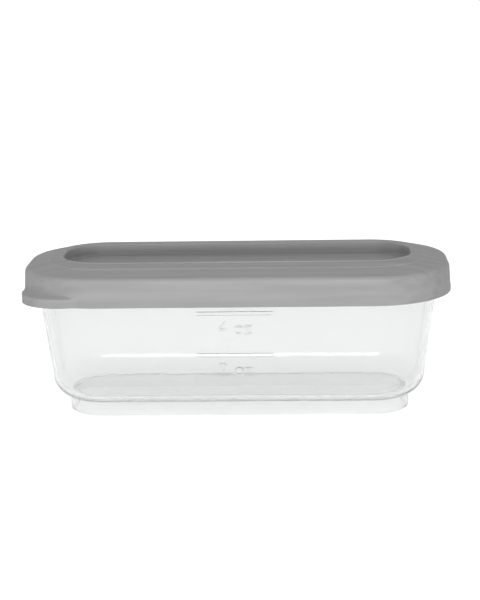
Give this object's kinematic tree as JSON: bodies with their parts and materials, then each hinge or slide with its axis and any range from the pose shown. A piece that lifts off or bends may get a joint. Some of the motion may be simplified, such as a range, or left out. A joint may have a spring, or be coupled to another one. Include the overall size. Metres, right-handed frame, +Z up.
{
  "type": "baby food storage container",
  "caption": "Clear rounded tub on a foot ring, with raised fill marks, closed by a soft grey snap lid with a stacking recess and a corner pull tab.",
  "frame": {"origin": "middle of the foot, at the height of the table it stands on", "axes": "+Z up through the lid, X along the length, -Y towards the side with the ounce marks; the pull tab is at the corner between -X and -Y"},
  "size_m": [0.125, 0.057, 0.0461],
  "materials": {
    "clear_plastic": "clear and slightly hazy, smooth outside",
    "soft_grey_plastic": "soft and matte, even mid grey"
  },
  "bodies": {
    "container": {"container_tub": "clear_plastic"},
    "lid": {"snap_lid": "soft_grey_plastic"}
  },
  "joints": [
    {"name": "lid_lift", "type": "slide", "parent": "container", "child": "lid", "axis": [0, 0, 1], "range_m": [0, 0.06]}
  ]
}
